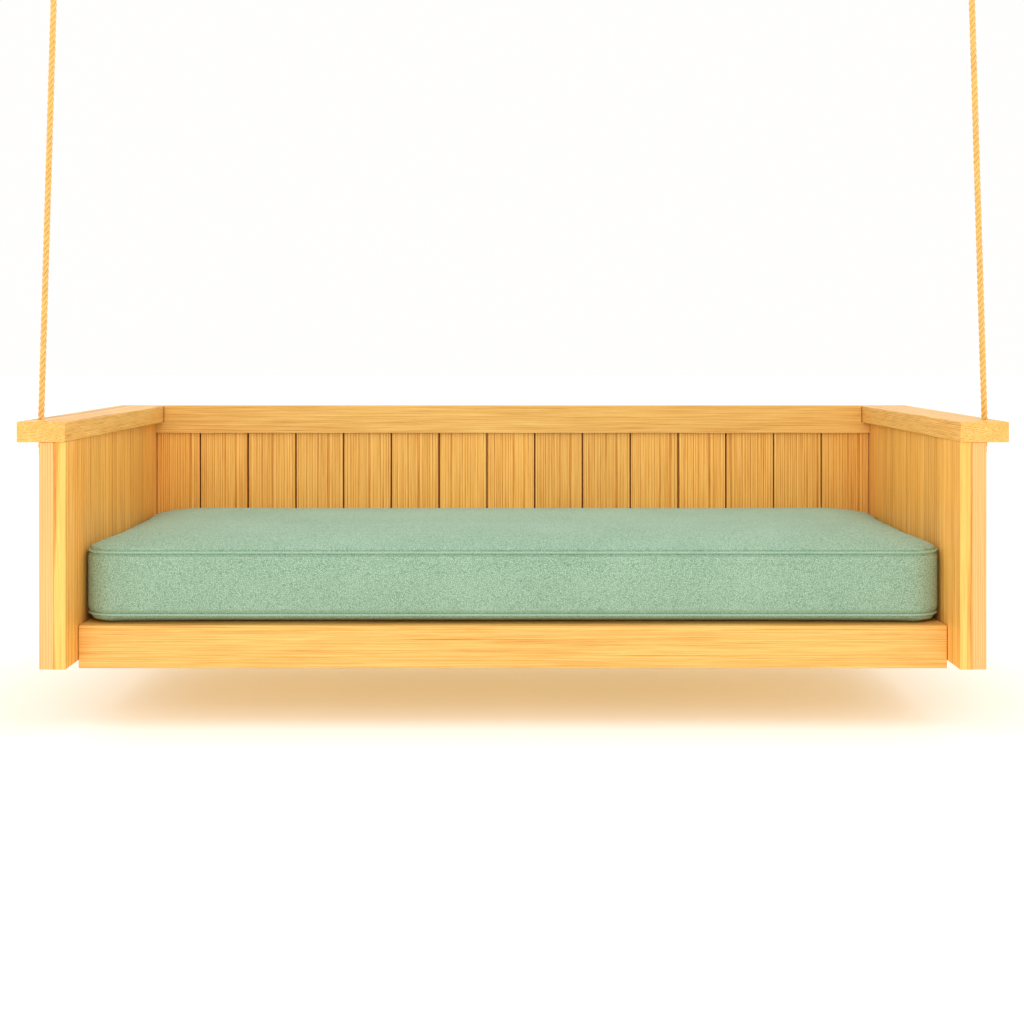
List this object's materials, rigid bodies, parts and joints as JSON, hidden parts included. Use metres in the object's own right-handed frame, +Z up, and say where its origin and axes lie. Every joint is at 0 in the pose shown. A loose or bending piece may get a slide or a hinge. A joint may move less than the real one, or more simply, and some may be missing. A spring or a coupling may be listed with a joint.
{
  "type": "porch swing",
  "caption": "Wooden porch swing bench with upright boards, wide arm caps and a boxed cushion, hung on ropes from ceiling hangers.",
  "frame": {"origin": "centre of the four ceiling bolts, on the ceiling's face, straight above the front rope holes", "axes": "+X to the right seen from the front, -Y the front, +Z up"},
  "size_m": [1.829, 0.733, 1.522],
  "materials": {
    "pine": "clear-coated, strong fine grain",
    "black_steel": "satin powder coat",
    "zinc_steel": "zinc plated",
    "bronze": "oiled",
    "rope": "three-strand twisted",
    "twine": "waxed",
    "foam": "open-cell foam",
    "cover_fabric": "pebbled outdoor weave, piped"
  },
  "bodies": {
    "hangers": {"ceiling_hanger_left": "black_steel", "ceiling_hanger_right": "black_steel", "pivot_bolts": "zinc_steel", "pivot_nuts": "zinc_steel"},
    "ropes": {"upper_rope_left": "rope", "upper_rope_right": "rope", "rope_thimbles": "zinc_steel", "pivot_bushes": "bronze", "rope_seizings": "twine"},
    "bench": {"front_post_left": "pine", "front_post_right": "pine", "rear_post_left": "pine", "rear_post_right": "pine", "side_rail_left": "pine", "side_rail_right": "pine", "side_boards_left": "pine", "side_boards_right": "pine", "arm_cap_left": "pine", "arm_cap_right": "pine", "back_top_rail": "pine", "back_board_01": "pine", "back_board_02": "pine", "back_board_03": "pine", "back_board_04": "pine", "back_board_05": "pine", "back_board_06": "pine", "back_board_07": "pine", "back_board_08": "pine", "back_board_09": "pine", "back_board_10": "pine", "back_board_11": "pine", "back_board_12": "pine", "back_board_13": "pine", "back_board_14": "pine", "back_board_15": "pine", "seat_joist_left": "pine", "seat_joist_centre": "pine", "seat_joist_right": "pine", "front_rail": "pine", "back_bottom_rail": "pine", "seat_ledger_left": "pine", "seat_ledger_right": "pine", "deck_slat_1": "pine", "deck_slat_2": "pine", "deck_slat_3": "pine", "deck_slat_4": "pine", "deck_slat_5": "pine", "deck_slat_6": "pine", "cap_dowels": "pine", "lower_rope_left": "rope", "lower_rope_right": "rope", "rope_knots": "rope", "bracket_lags": "zinc_steel", "rail_lags": "zinc_steel", "deck_screws": "zinc_steel", "board_screws": "zinc_steel", "front_rope_brackets": "black_steel", "rear_rope_brackets": "black_steel", "cushion_foam": "foam", "cushion_cover": "cover_fabric"}
  },
  "joints": [
    {"name": "rope_swing", "type": "hinge", "parent": "hangers", "child": "ropes", "pos_m": [0, 0, -0.048], "axis": [1, 0, 0], "range_deg": [-20, 20]},
    {"name": "bench_level", "type": "hinge", "parent": "ropes", "child": "bench", "pos_m": [0, 0, -1.05], "axis": [1, 0, 0], "range_deg": [-20, 20]}
  ],
  "couplings": [
    {"joint": "bench_level", "follows": "rope_swing", "ratio": -1}
  ]
}
